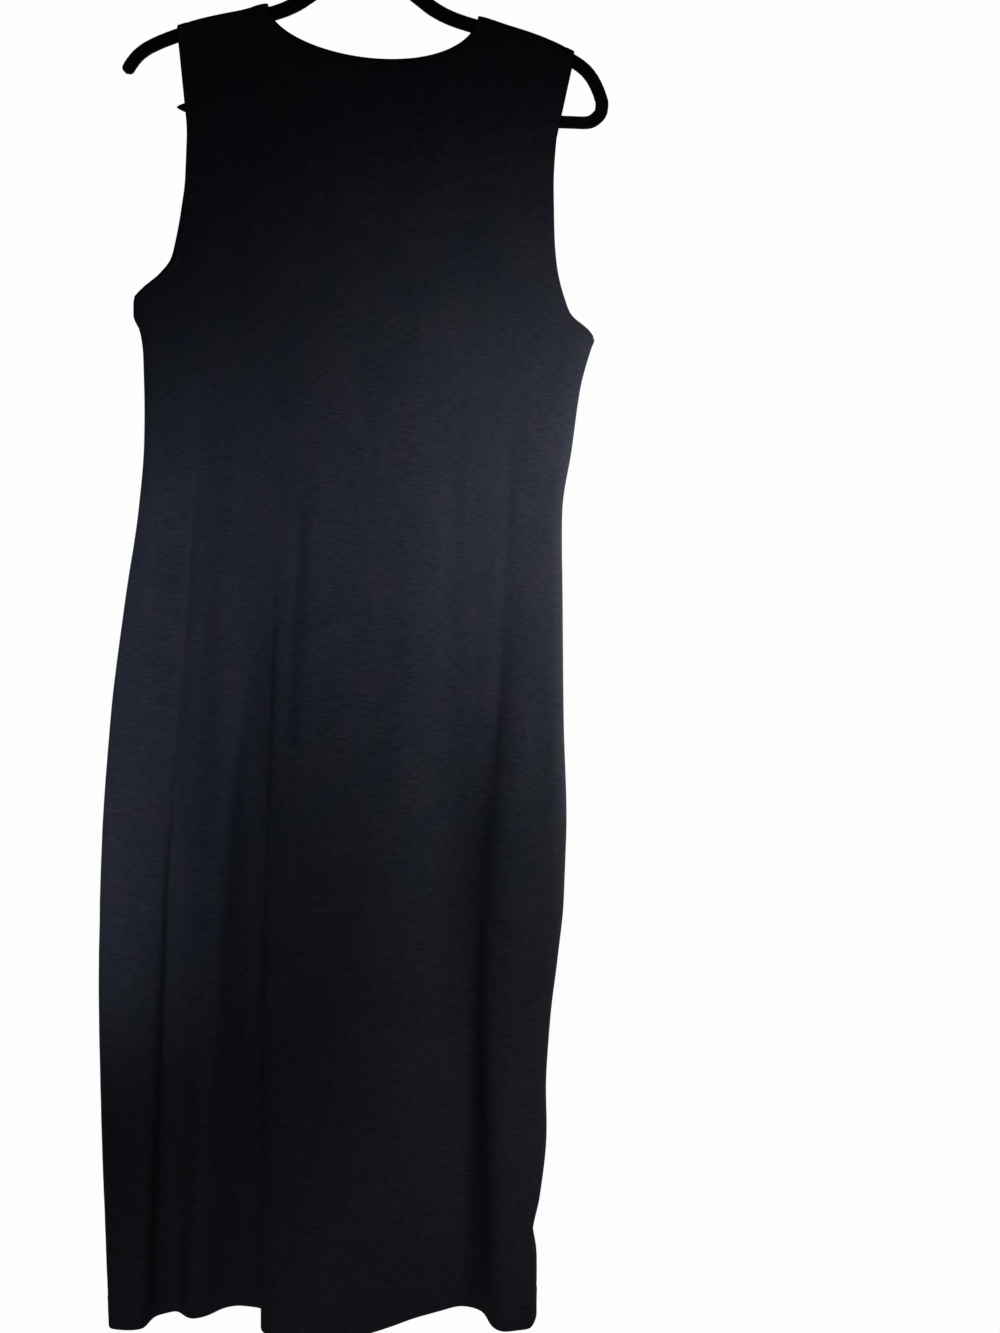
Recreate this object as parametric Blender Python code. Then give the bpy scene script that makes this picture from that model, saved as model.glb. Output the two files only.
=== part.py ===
"""A plain sleeveless midi dress in fine jersey, hanging on a slim flocked hanger.

Metres, +Z up, +X to the right and -Y towards the viewer. The origin is the inside top of the
hanger's hook, where a rail holds it. The back of the dress faces the viewer.
"""

import math

import bmesh
import bpy
import numpy as np
from mathutils import Vector

# Cloth
CLOTH = 0.0012  # wall of the jersey, as one rigid layer
BAND_WALL = 0.0018  # the neckband is folded double
BAND_WIDTH = 0.014
SEAM_GAP = 0.0003
HEM_Z = -1.303
UNDERARM_Z = -0.412
YOKE_Z = -0.235  # rows are level up to here, and fan to the shoulders above
ARMHOLE_OPEN = 0.0052  # how far each armhole edge stands from the middle plane
ARMHOLE_RISE = 0.045  # height over which an armhole opens above the underarm
FLAT_DEPTH = 0.0072  # each panel's distance from the middle plane at the chest

# Hanger
HANGER_THICK = 0.005
HANGER_CLEAR = 0.0006
ROLL_DEPTH = 0.0048  # the cloth's distance from the middle plane beside an arm
ROLL_DROP = 0.006  # height over which the cloth rolls over an arm
BAR_Z = -0.2231
BAR_TALL = 0.0108
BAR_LEFT_X = -0.166
BAR_RIGHT_X = 0.200
WIRE_RADIUS = 0.0018
HOOK_INNER = 0.020
NECK_TOP_Z = -0.0775

# Top of the dress: shoulder ends, and the finished neckline's ends and lowest points
SHOULDER_LEFT_X = -0.1666
SHOULDER_RIGHT_X = 0.1893
NECK_LEFT_X = -0.0872
NECK_RIGHT_X = 0.1022
NECK_LOW_X = 0.0195
BACK_NECK_Z = -0.1757
FRONT_NECK_Z = -0.206
NECK_CROWD = 0.86  # how closely the stations of the neckline gather at its ends, up to 1
NECK_FAN = 0.010  # how far out of the neck's ends their columns start
NECK_LEAN = 0.30  # slope of those columns away from the neck edge
NECK_LEAN_COLUMNS = 3.0  # columns over which that slope dies out
NECK_BUMP = 0.0014  # height of the thick ends of the band where it crosses the arms
NECK_BUMP_WIDTH = 0.013

# Outline of the hanging dress: height, x. An armhole runs down to the underarm, a side seam below it.
LEFT_EDGE = (
    (-0.1528, -0.1666),
    (-0.1663, -0.1677),
    (-0.1805, -0.1631),
    (-0.2164, -0.1581),
    (-0.2523, -0.1542),
    (-0.2883, -0.1539),
    (-0.3172, -0.1562),
    (-0.3462, -0.1603),
    (-0.3607, -0.1634),
    (-0.3755, -0.1733),
    (-0.3905, -0.1903),
    (-0.3980, -0.1962),
    (-0.4124, -0.1969),
    (-0.4266, -0.1905),
    (-0.4481, -0.1867),
    (-0.5326, -0.1828),
    (-0.5867, -0.1854),
    (-0.6681, -0.1942),
    (-0.7766, -0.2030),
    (-0.8848, -0.2059),
    (-0.9929, -0.2039),
    (-1.1007, -0.1973),
    (-1.2085, -0.1877),
    (-1.3030, -0.1776),
)
RIGHT_EDGE = (
    (-0.1580, 0.1893),
    (-0.2033, 0.1815),
    (-0.2395, 0.1767),
    (-0.2756, 0.1753),
    (-0.3044, 0.1763),
    (-0.3332, 0.1780),
    (-0.3547, 0.1807),
    (-0.3690, 0.1839),
    (-0.3832, 0.1886),
    (-0.3974, 0.1951),
    (-0.4111, 0.2130),
    (-0.4181, 0.2173),
    (-0.4254, 0.2148),
    (-0.4636, 0.2060),
    (-0.5178, 0.2005),
    (-0.5721, 0.1943),
    (-0.6530, 0.1977),
    (-0.7609, 0.2029),
    (-0.8688, 0.2093),
    (-0.9228, 0.2093),
    (-0.9770, 0.2058),
    (-1.0312, 0.2013),
    (-1.0853, 0.1997),
    (-1.1392, 0.2021),
    (-1.1934, 0.1981),
    (-1.2206, 0.1929),
    (-1.2475, 0.1974),
    (-1.3030, 0.1994),
)

# Levels of the fold tables below
WAIST_Z = -0.50
HIP_Z = -0.95

# Side seams' depth at each level: height, y of the left seam, y of the right seam
SEAM_DEPTH = (
    (WAIST_Z, 0.0, 0.0),
    (HIP_Z, -0.003, 0.005),
    (HEM_Z, -0.004, 0.012),
)

# Fold lines of the back panel, left to right: x and y at the hem, at the hip and at the waist, and
# the number of columns up to the next line
BACK_FOLDS = (
    (-0.1710, -0.0314, -0.193, -0.0150, -0.172, -0.0078, 2),  # left lobe, outer
    (-0.1425, -0.0305, -0.146, -0.0175, -0.144, -0.0080, 1),  # left lobe, crest beside the crease
    (-0.1395, -0.0130, -0.1405, -0.0070, -0.140, -0.0070, 1),  # foot of the crease
    (-0.1310, -0.0048, -0.130, -0.0060, -0.130, -0.0074, 1),
    (-0.1215, -0.0055, -0.120, -0.0085, -0.120, -0.0078, 1),
    (-0.1110, -0.0148, -0.107, -0.0115, -0.107, -0.0080, 1),  # small ridge
    (-0.0960, -0.0100, -0.094, -0.0065, -0.094, -0.0076, 1),
    (-0.0825, 0.0030, -0.084, 0.0015, -0.084, -0.0074, 1),
    (-0.0680, 0.0092, -0.072, 0.0035, -0.074, -0.0072, 1),  # deep valley
    (-0.0520, 0.0035, -0.0600, 0.0005, -0.063, -0.0073, 1),  # foot of the steep wall
    (-0.0470, -0.0320, -0.0550, -0.0165, -0.056, -0.0078, 1),  # top of the steep wall
    (-0.0340, -0.0375, -0.040, -0.0190, -0.042, -0.0082, 2),
    (0.0000, -0.0400, -0.005, -0.0200, -0.005, -0.0084, 2),  # broad middle
    (0.0350, -0.0335, 0.030, -0.0175, 0.030, -0.0084, 1),
    (0.0640, -0.0180, 0.058, -0.0110, 0.058, -0.0082, 1),
    (0.0900, -0.0010, 0.084, -0.0030, 0.084, -0.0078, 1),
    (0.1130, 0.0135, 0.108, 0.0030, 0.108, -0.0076, 1),
    (0.1320, 0.0185, 0.124, 0.0050, 0.124, -0.0075, 1),  # right valley
    (0.1520, 0.0120, 0.1350, 0.0030, 0.136, -0.0075, 1),  # foot of the right wall
    (0.1575, -0.0100, 0.1405, -0.0080, 0.143, -0.0078, 1),  # right lobe, crest
    (0.1700, -0.0165, 0.160, -0.0105, 0.160, -0.0080, 1),
    (0.1900, -0.0120, 0.195, -0.0070, 0.186, -0.0076, 0),  # right lobe, outer
)
# Fold lines of the front panel, in the same columns
FRONT_FOLDS = (
    (-0.1680, 0.0310, -0.194, 0.0160, -0.172, 0.0078, 1),
    (-0.1420, 0.0450, -0.158, 0.0230, -0.146, 0.0082, 1),
    (-0.1130, 0.0510, -0.125, 0.0270, -0.118, 0.0084, 2),  # left lobe
    (-0.0860, 0.0440, -0.097, 0.0240, -0.092, 0.0080, 2),
    (-0.0620, 0.0330, -0.071, 0.0185, -0.068, 0.0076, 1),
    (-0.0380, 0.0300, -0.045, 0.0165, -0.044, 0.0074, 2),  # left valley
    (-0.0140, 0.0370, -0.020, 0.0200, -0.020, 0.0078, 2),
    (0.0140, 0.0490, 0.008, 0.0265, 0.006, 0.0084, 1),
    (0.0440, 0.0550, 0.038, 0.0290, 0.034, 0.0086, 2),  # middle lobe
    (0.0740, 0.0510, 0.068, 0.0255, 0.062, 0.0082, 2),
    (0.0980, 0.0430, 0.094, 0.0210, 0.088, 0.0077, 2),
    (0.1200, 0.0405, 0.118, 0.0195, 0.112, 0.0075, 2),  # right valley
    (0.1430, 0.0450, 0.142, 0.0210, 0.138, 0.0078, 1),
    (0.1680, 0.0490, 0.168, 0.0220, 0.162, 0.0080, 1),  # right lobe
    (0.1900, 0.0380, 0.194, 0.0165, 0.186, 0.0076, 0),
)
EDGE_STEPS = 3  # columns that round each side of a panel

# Heights of the level rows, from the hem up
ROWS = (
    HEM_Z,
    -1.276,
    -1.2475,
    -1.2206,
    -1.190,
    -1.145,
    -1.090,
    -1.030,
    -0.970,
    -0.905,
    -0.840,
    -0.775,
    -0.710,
    -0.645,
    -0.585,
    -0.530,
    -0.480,
    -0.446,
    -0.427,
    -0.4165,
    UNDERARM_Z + 0.004,
    -0.398,
    -0.385,
    -0.366,
    -0.338,
    -0.300,
    -0.265,
    YOKE_Z,
)
# Rows of the yoke above them: share of the way up from YOKE_Z to the roll
YOKE_SHARES = (0.30, 0.60, 0.85)
ROLL_ANGLES = (90.0, 60.0, 32.0, 0.0)
NECK_DROPS = (0.0120, 0.0075, 0.0035, 0.0)  # the same four rows below the neck edge

# Centre line of an arm of the hanger, from the neck out: x, z, height across the arm
ARM = (
    (0.000, -0.0870, 0.0190),
    (0.012, -0.0905, 0.0170),
    (0.025, -0.0990, 0.0140),
    (0.050, -0.1176, 0.0135),
    (0.062, -0.1262, 0.0132),
    (0.078, -0.1338, 0.0128),
    (0.100, -0.1402, 0.0125),
    (0.125, -0.1456, 0.0122),
    (0.150, -0.1523, 0.0120),
    (0.172, -0.1603, 0.0118),
    (0.192, -0.1698, 0.0116),
    (0.2010, -0.1765, 0.0115),
    (0.2070, -0.1837, 0.0115),
    (0.2112, -0.1910, 0.0115),
)
LEFT_TIP = (0.2128, -0.1945, 0.0105)
# The right arm runs on round a closed end to the bar
RIGHT_END = (
    (0.2144, -0.1985, 0.0116),
    (0.2164, -0.2055, 0.0117),
    (0.2158, -0.2125, 0.0117),
    (0.2112, -0.2190, 0.0116),
    (0.2060, -0.2222, 0.0112),
)
SECTION_SIDES = 10


def clear_scene():
    for obj in list(bpy.data.objects):
        bpy.data.objects.remove(obj, do_unlink=True)


def smooth(points, parameters, at):
    """Interpolate rows of points with a monotone cubic, so that steep folds don't overshoot."""
    points = np.asarray(points, dtype=float)
    t = np.asarray(parameters, dtype=float)
    at = np.clip(np.asarray(at, dtype=float), t[0], t[-1])
    step = np.diff(t)[:, None]
    slope = np.diff(points, axis=0) / step
    tangent = np.zeros_like(points)
    tangent[0] = slope[0]
    tangent[-1] = slope[-1]
    same_sign = slope[:-1] * slope[1:] > 0
    mean = 2.0 * slope[:-1] * slope[1:] / np.where(same_sign, slope[:-1] + slope[1:], 1.0)
    tangent[1:-1] = np.where(same_sign, mean, 0.0)
    i = np.clip(np.searchsorted(t, at, side="right") - 1, 0, len(t) - 2)
    h = step[i]
    s = ((at - t[i]) / h[:, 0])[:, None]
    return (
        (1 + 2 * s) * (1 - s) ** 2 * points[i]
        + s * (1 - s) ** 2 * h * tangent[i]
        + s**2 * (3 - 2 * s) * points[i + 1]
        + s**2 * (s - 1) * h * tangent[i + 1]
    )


def table_at(table, height):
    """Read a table whose first column is the height, from the top down."""
    rows = np.array(table)[::-1]
    return smooth(rows[:, 1:], rows[:, 0], [height])[0]


def arm_top():
    """The path of a cloth's middle surface that lies on the arms: x and z, left to right."""
    half = np.array(ARM)
    right = half[1:]
    left = half[1:][::-1] * (-1, 1, 1)
    line = np.vstack([left, half[:1], right])
    run = np.gradient(line[:, :2], axis=0)
    run /= np.linalg.norm(run, axis=1)[:, None]
    reach = line[:, 2] / 2 + HANGER_CLEAR + CLOTH / 2
    return line[:, 0] - run[:, 1] * reach, line[:, 1] + run[:, 0] * reach


ARM_TOP_X, ARM_TOP_Z = arm_top()


def shoulder_z(x):
    """Height of the cloth's middle surface on top of the arms."""
    height = float(np.interp(x, ARM_TOP_X, ARM_TOP_Z))
    for crossing in (NECK_LEFT_X - BAND_WIDTH / 2, NECK_RIGHT_X + BAND_WIDTH / 2):
        height += NECK_BUMP * math.exp(-(((x - crossing) / NECK_BUMP_WIDTH) ** 2))
    return height


def roll(x, z, depth):
    """Depth of cloth at x, z: 0 on top of an arm, its full depth ROLL_DROP below."""
    below = min(max((shoulder_z(x) - z) / ROLL_DROP, 0.0), 1.0)
    return depth * math.sqrt(1.0 - (1.0 - below) ** 2)


def neck_point(turn, low_z, inset):
    """A point of the neckline, from the left end (turn 0) to the right end (turn 1).

    inset moves it away from the opening, down and out.
    """
    angle = math.pi * (1.0 - turn)
    middle = (NECK_LEFT_X + NECK_RIGHT_X) / 2
    half = (NECK_RIGHT_X - NECK_LEFT_X) / 2 + inset
    end_z = (shoulder_z(NECK_LEFT_X - inset), shoulder_z(NECK_RIGHT_X + inset))
    across = math.cos(angle)
    down = math.sin(angle)
    shift = (NECK_LOW_X - middle) * down**2
    top = end_z[0] + (end_z[1] - end_z[0]) * (across + 1) / 2
    return middle + half * across + shift, top + (low_z - inset - top) * down


def fold_lines(folds, height):
    """x and y of a panel's fold lines at a height, with the first and last beside the seams."""
    rows = np.array(folds)
    level = np.array((HEM_Z, HIP_Z, WAIST_Z))
    x = smooth(np.array((rows[:, 0], rows[:, 2], rows[:, 4])), level, [height])[0]
    y = smooth(np.array((rows[:, 1], rows[:, 3], rows[:, 5])), level, [height])[0]
    return x, y


def level_row(folds, side, height):
    """One level row of a panel: a list of (x, y) from the left edge to the right edge."""
    left = table_at(LEFT_EDGE, height)[0]
    right = table_at(RIGHT_EDGE, height)[0]
    x, y = fold_lines(folds, height)
    if height > WAIST_Z:
        low_left = table_at(LEFT_EDGE, WAIST_Z)[0]
        low_right = table_at(RIGHT_EDGE, WAIST_Z)[0]
        x = left + (x - low_left) * (right - left) / (low_right - low_left)
        chest = side * FLAT_DEPTH
        calm = min((height - WAIST_Z) / (UNDERARM_Z + ARMHOLE_RISE - WAIST_Z), 1.0)
        y = y + (chest - y) * calm
        toward_yoke = max((height - UNDERARM_Z) / (YOKE_Z - UNDERARM_Z), 0.0)
        y = y + (side * ROLL_DEPTH - y) * min(toward_yoke, 1.0)
    seam = table_at(SEAM_DEPTH, min(height, WAIST_Z))
    opening = min(max((height - UNDERARM_Z) / ARMHOLE_RISE, 0.0), 1.0)
    edge_y = seam + side * (SEAM_GAP / 2 + ARMHOLE_OPEN * opening * (2 - opening))
    edge_y = np.where(abs(edge_y - seam) > ROLL_DEPTH, seam + side * ROLL_DEPTH, edge_y)
    columns = np.cumsum([0] + [int(row[-1]) for row in folds[:-1]])
    inner = smooth(np.column_stack([x, y]), columns, np.arange(columns[-1] + 1))
    points = []
    for step in range(EDGE_STEPS):
        angle = math.radians(90.0 * step / EDGE_STEPS)
        points.append(
            (
                left + (x[0] - left) * (1 - math.cos(angle)),
                edge_y[0] + (y[0] - edge_y[0]) * math.sin(angle),
            )
        )
    points += [tuple(point) for point in inner]
    for step in reversed(range(EDGE_STEPS)):
        angle = math.radians(90.0 * step / EDGE_STEPS)
        points.append(
            (
                right + (x[-1] - right) * (1 - math.cos(angle)),
                edge_y[1] + (y[-1] - edge_y[1]) * math.sin(angle),
            )
        )
    return points


def neck_strip(turns, side, low_z):
    """The neckband's middle surface on one side, three points across the band."""
    lift = (BAND_WALL - CLOTH) / 2
    strip = []
    for share in (0.0, 0.5, 1.0):
        line = []
        for turn in turns:
            x, z = neck_point(turn, low_z, BAND_WIDTH * share)
            line.append((x, side * roll(x, z, ROLL_DEPTH + lift), z + lift))
        strip.append(line)
    return np.array(strip, dtype=float)


def column_shares(folds, side):
    """How far across the garment each column of a panel is at the yoke, from 0 to 1."""
    at = np.array([x for x, _ in level_row(folds, side, YOKE_Z)])
    return (at - at[0]) / (at[-1] - at[0])


def neck_span(shares):
    """The columns that meet the ends of the neck edge."""
    at = SHOULDER_LEFT_X + shares * (SHOULDER_RIGHT_X - SHOULDER_LEFT_X)
    first = int(np.argmin(abs(at - NECK_LEFT_X + BAND_WIDTH + NECK_FAN)))
    last = int(np.argmin(abs(at - NECK_RIGHT_X - BAND_WIDTH - NECK_FAN)))
    return first, last


def neck_turns(folds, side):
    """Where a panel's columns meet the neck edge, gathered near both ends. The band's are the same."""
    first, last = neck_span(column_shares(folds, side))
    even = np.linspace(0.0, 1.0, last - first + 1)
    return even - NECK_CROWD * np.sin(2 * math.pi * even) / (2 * math.pi)


def top_edge(folds, side, low_z):
    """The panel's upper edge for each column: left shoulder, neck edge and right shoulder."""
    inset = BAND_WIDTH + SEAM_GAP
    neck_left = neck_point(0.0, low_z, inset)[0]
    neck_right = neck_point(1.0, low_z, inset)[0]
    share = column_shares(folds, side)
    first, last = neck_span(share)
    turns = neck_turns(folds, side)
    edge = []
    for i in range(len(share)):
        if first < i < last:
            edge.append((*neck_point(turns[i - first], low_z, inset), True))
            continue
        if i <= first:
            x = SHOULDER_LEFT_X + (neck_left - SHOULDER_LEFT_X) * share[i] / share[first]
        else:
            run = (share[i] - share[last]) / (1 - share[last])
            x = neck_right + (SHOULDER_RIGHT_X - neck_right) * run
        edge.append((x, shoulder_z(x), False))
    return edge


def panel_grid(folds, side, low_z):
    """The panel's middle surface as rows of points, from the hem up."""
    rows = [[(x, y, z) for x, y in level_row(folds, side, z)] for z in ROWS]
    base = rows[-1]
    edge = top_edge(folds, side, low_z)
    first, last = neck_span(column_shares(folds, side))
    count = len(base)
    shares = list(YOKE_SHARES)
    for share in shares:
        rows.append([None] * count)
    for _ in ROLL_ANGLES:
        rows.append([None] * count)
    start = len(ROWS)
    for i, (top_x, top_z, neck) in enumerate(edge):
        if neck:
            drops = NECK_DROPS
        else:
            drops = [ROLL_DROP * (1 - math.cos(math.radians(a))) for a in ROLL_ANGLES]
        low_x, low_y, base_z = base[i]
        left_lean = math.exp(-(((i - first) / NECK_LEAN_COLUMNS) ** 2))
        right_lean = math.exp(-(((i - last) / NECK_LEAN_COLUMNS) ** 2))
        lean = NECK_LEAN * (right_lean - left_lean)
        under = (top_x + lean * drops[0], top_z - drops[0])
        line = [
            (low_x + (under[0] - low_x) * share, base_z + (under[1] - base_z) * share)
            for share in shares
        ]
        line += [(top_x + lean * drop, top_z - drop) for drop in drops]
        for k, (x, z) in enumerate(line):
            rise = (z - base_z) / (top_z - base_z)
            depth = abs(low_y) + (ROLL_DEPTH - abs(low_y)) * min(rise * 1.5, 1.0)
            y = side * (SEAM_GAP / 2 + roll(x, z, depth))
            rows[start + k][i] = (x, y, z)
    return np.array(rows, dtype=float)


def grid_normals(grid, side):
    """Unit normals of a grid of points, facing out of the garment."""
    across = np.gradient(grid, axis=1)
    up = np.gradient(grid, axis=0)
    normal = np.cross(across, up)
    normal /= np.linalg.norm(normal, axis=2)[:, :, None]
    return normal if side < 0 else -normal


def wall_mesh(name, grid, normal, wall, closed=False):
    """A closed wall about a grid of points: two skins and the rims that join them."""
    skins = (grid + normal * wall / 2, grid - normal * wall / 2)
    rows, columns = grid.shape[:2]
    mesh = bpy.data.meshes.new(name)
    bm = bmesh.new()
    verts = [[[bm.verts.new(p) for p in row] for row in skin] for skin in skins]
    spans = columns if closed else columns - 1
    for r in range(rows - 1):
        for c in range(spans):
            d = (c + 1) % columns
            for skin in verts:
                bm.faces.new((skin[r][c], skin[r][d], skin[r + 1][d], skin[r + 1][c]))
    for c in range(spans):
        d = (c + 1) % columns
        for r in (0, rows - 1):
            bm.faces.new((verts[0][r][c], verts[0][r][d], verts[1][r][d], verts[1][r][c]))
    if not closed:
        for r in range(rows - 1):
            for c in (0, columns - 1):
                bm.faces.new((verts[0][r][c], verts[0][r + 1][c], verts[1][r + 1][c], verts[1][r][c]))
    bmesh.ops.recalc_face_normals(bm, faces=bm.faces)
    bm.to_mesh(mesh)
    bm.free()
    mesh.shade_smooth()
    mesh.set_sharp_from_angle(angle=math.radians(50))
    return mesh


def material(name, color, roughness, metallic=0.0):
    made = bpy.data.materials.new(name)
    made.use_nodes = True
    shader = made.node_tree.nodes["Principled BSDF"]
    shader.inputs["Base Color"].default_value = (*color, 1.0)
    shader.inputs["Roughness"].default_value = roughness
    shader.inputs["Metallic"].default_value = metallic
    return made


def add_object(name, mesh, surface, collection):
    obj = bpy.data.objects.new(name, mesh)
    mesh.materials.append(surface)
    collection.objects.link(obj)
    return obj


def band_ring():
    """The whole neckband's middle surface and normals: round the back, then the front."""
    back = neck_strip(neck_turns(BACK_FOLDS, -1), -1, BACK_NECK_Z)
    front = neck_strip(neck_turns(FRONT_FOLDS, 1), 1, FRONT_NECK_Z)
    ring = np.concatenate([back, front[:, -2:0:-1]], axis=1)
    wrapped = np.concatenate([ring[:, -1:], ring, ring[:, :1]], axis=1)
    normal = np.cross(np.gradient(wrapped, axis=0), np.gradient(wrapped, axis=1))[:, 1:-1]
    normal /= np.linalg.norm(normal, axis=2)[:, :, None]
    return ring, normal


def square_seams(grid, normal, folds, side):
    """Set the normals along the seams, so that the rims of two pieces face each other squarely."""
    for r, height in enumerate(ROWS):
        if height < UNDERARM_Z:
            normal[r, 0, 1] = 0.0
            normal[r, -1, 1] = 0.0
    on_shoulder = abs(grid[-1, :, 1]) < SEAM_GAP
    normal[-1, on_shoulder, 1] = 0.0
    first, last = neck_span(column_shares(folds, side))
    band_normal = band_ring()[1][-1]
    count = last - first + 1
    if side > 0:
        back_count = len(neck_turns(BACK_FOLDS, -1))
        band_normal = np.concatenate([band_normal[:1], band_normal[:back_count - 2:-1]])
    normal[-1, first + 1 : last] = band_normal[1 : count - 1]
    return normal / np.linalg.norm(normal, axis=2)[:, :, None]


def make_panel(name, folds, side, low_z, surface, collection):
    grid = panel_grid(folds, side, low_z)
    normal = square_seams(grid, grid_normals(grid, side), folds, side)
    return add_object(name, wall_mesh(name, grid, normal, CLOTH), surface, collection)


def make_neckband(surface, collection):
    ring, normal = band_ring()
    mesh = wall_mesh("neckband", ring, normal, BAND_WALL, closed=True)
    return add_object("neckband", mesh, surface, collection)


def hanger_path():
    """Centre line of the hanger from its left tip over the neck, round the right end and back."""
    arm = [tuple(row) for row in ARM]
    left = [LEFT_TIP] + arm[:0:-1]
    path = [(-x, z, tall) for x, z, tall in left]
    path += arm + list(RIGHT_END)
    bar_count = 12
    for i in range(bar_count + 1):
        share = i / bar_count
        path.append((BAR_RIGHT_X + (BAR_LEFT_X - BAR_RIGHT_X) * share, BAR_Z, BAR_TALL))
    return np.array(path, dtype=float)


def make_hanger_frame(surface, collection):
    path = hanger_path()
    run = np.gradient(path[:, :2], axis=0)
    run /= np.linalg.norm(run, axis=1)[:, None]
    bm = bmesh.new()
    rings = []
    for (x, z, tall), (run_x, run_z) in zip(path, run):
        ring = []
        for k in range(SECTION_SIDES):
            angle = 2 * math.pi * (k + 0.5) / SECTION_SIDES
            across = math.copysign(abs(math.sin(angle)) ** 0.7, math.sin(angle)) * tall / 2
            out = math.copysign(abs(math.cos(angle)) ** 0.7, math.cos(angle)) * HANGER_THICK / 2
            ring.append(bm.verts.new((x - run_z * across, out, z + run_x * across)))
        rings.append(ring)
    for a, b in zip(rings, rings[1:]):
        for k in range(SECTION_SIDES):
            j = (k + 1) % SECTION_SIDES
            bm.faces.new((a[k], a[j], b[j], b[k]))
    bm.faces.new(rings[0])
    bm.faces.new(rings[-1])
    bmesh.ops.recalc_face_normals(bm, faces=bm.faces)
    mesh = bpy.data.meshes.new("hanger_frame")
    bm.to_mesh(mesh)
    bm.free()
    mesh.shade_smooth()
    mesh.set_sharp_from_angle(angle=math.radians(50))
    return add_object("hanger_frame", mesh, surface, collection)


def hook_points():
    """The hook's wire: a straight shank, a bend to the right, and the round hook over the rail."""
    reach = HOOK_INNER + WIRE_RADIUS
    centre = Vector((0.0, 0.0, -HOOK_INNER))
    start = Vector((0.0, 0.0, NECK_TOP_Z + SEAM_GAP))
    bend = Vector((0.0, 0.0, -0.060))
    first_angle = math.radians(-48)
    last_angle = math.radians(205)
    joint = centre + Vector((math.cos(first_angle), 0, math.sin(first_angle))) * reach
    leaving = Vector((-math.sin(first_angle), 0, math.cos(first_angle)))
    pull = (joint - bend).length * 0.42
    points = [start]
    bend_steps = 6
    for i in range(bend_steps):
        s = i / bend_steps
        a, b, c, d = bend, bend + Vector((0, 0, pull)), joint - leaving * pull, joint
        points.append((1 - s) ** 3 * a + 3 * s * (1 - s) ** 2 * b + 3 * s**2 * (1 - s) * c + s**3 * d)
    round_steps = 20
    for i in range(round_steps + 1):
        angle = first_angle + (last_angle - first_angle) * i / round_steps
        points.append(centre + Vector((math.cos(angle), 0, math.sin(angle))) * reach)
    return points


def make_hook(surface, collection):
    curve = bpy.data.curves.new("hanger_hook", "CURVE")
    curve.dimensions = "3D"
    curve.bevel_depth = WIRE_RADIUS
    curve.bevel_resolution = 2
    curve.use_fill_caps = True
    spline = curve.splines.new("POLY")
    points = hook_points()
    spline.points.add(len(points) - 1)
    for slot, point in zip(spline.points, points):
        slot.co = (*point, 1.0)
    obj = bpy.data.objects.new("hanger_hook", curve)
    curve.materials.append(surface)
    collection.objects.link(obj)
    return obj


def main():
    clear_scene()
    collection = bpy.data.collections.new("midi_dress_on_hanger")
    bpy.context.scene.collection.children.link(collection)
    jersey = material("black_jersey", (0.012, 0.013, 0.018), 0.85)
    band = material("black_jersey_band", (0.011, 0.012, 0.016), 0.85)
    flock = material("black_flock", (0.006, 0.006, 0.006), 0.95)
    steel = material("hook_steel", (0.62, 0.62, 0.63), 0.22, 1.0)
    make_panel("back_panel", BACK_FOLDS, -1, BACK_NECK_Z, jersey, collection)
    make_panel("front_panel", FRONT_FOLDS, 1, FRONT_NECK_Z, jersey, collection)
    make_neckband(band, collection)
    make_hanger_frame(flock, collection)
    make_hook(steel, collection)


main()
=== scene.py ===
"""The finished look of a black sleeveless midi dress on a slim flocked hanger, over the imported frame.

Metres, +Z up, +X to the right and -Y towards the viewer. The origin is the inside top of the hook.
"""

import math

import bmesh
import bpy
import numpy as np
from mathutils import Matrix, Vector, noise


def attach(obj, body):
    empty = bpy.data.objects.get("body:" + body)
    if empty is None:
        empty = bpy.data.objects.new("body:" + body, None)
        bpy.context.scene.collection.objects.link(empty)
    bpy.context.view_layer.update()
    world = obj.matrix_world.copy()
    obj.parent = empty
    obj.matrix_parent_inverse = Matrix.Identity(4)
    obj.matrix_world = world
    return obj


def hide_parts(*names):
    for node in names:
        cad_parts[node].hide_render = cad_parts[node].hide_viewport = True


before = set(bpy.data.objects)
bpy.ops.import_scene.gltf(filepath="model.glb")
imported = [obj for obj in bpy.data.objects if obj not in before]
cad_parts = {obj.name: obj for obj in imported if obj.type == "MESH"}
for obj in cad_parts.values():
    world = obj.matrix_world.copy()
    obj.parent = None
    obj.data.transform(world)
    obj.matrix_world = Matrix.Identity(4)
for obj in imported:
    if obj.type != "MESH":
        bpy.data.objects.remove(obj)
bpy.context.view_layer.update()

# Cloth
CLOTH = 0.0012
BAND_WALL = 0.0018
BAND_WIDTH = 0.014
SEAM_GAP = 0.00004
NECK_LAP = 0.0022  # how far a panel's neck edge reaches under the neckband
HEM_Z = -1.303
HEM_TURN = 0.027  # height of the turned and stitched hem
ARMHOLE_TURN = 0.009
UNDERARM_Z = -0.412
YOKE_Z = -0.235
ARMHOLE_OPEN = 0.0052  # how far each panel's edge moves out along the armhole
ARMHOLE_RISE = 0.045
FLAT_DEPTH = 0.0072
TURN_LIFT = 0.00015  # how far a turned edge stands out
TURN_BACK = 0.0005
STITCH_GROOVE = 0.00030
HEM_GROOVE_WIDTH = 0.0022
ARMHOLE_GROOVE_WIDTH = 0.0018

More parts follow.
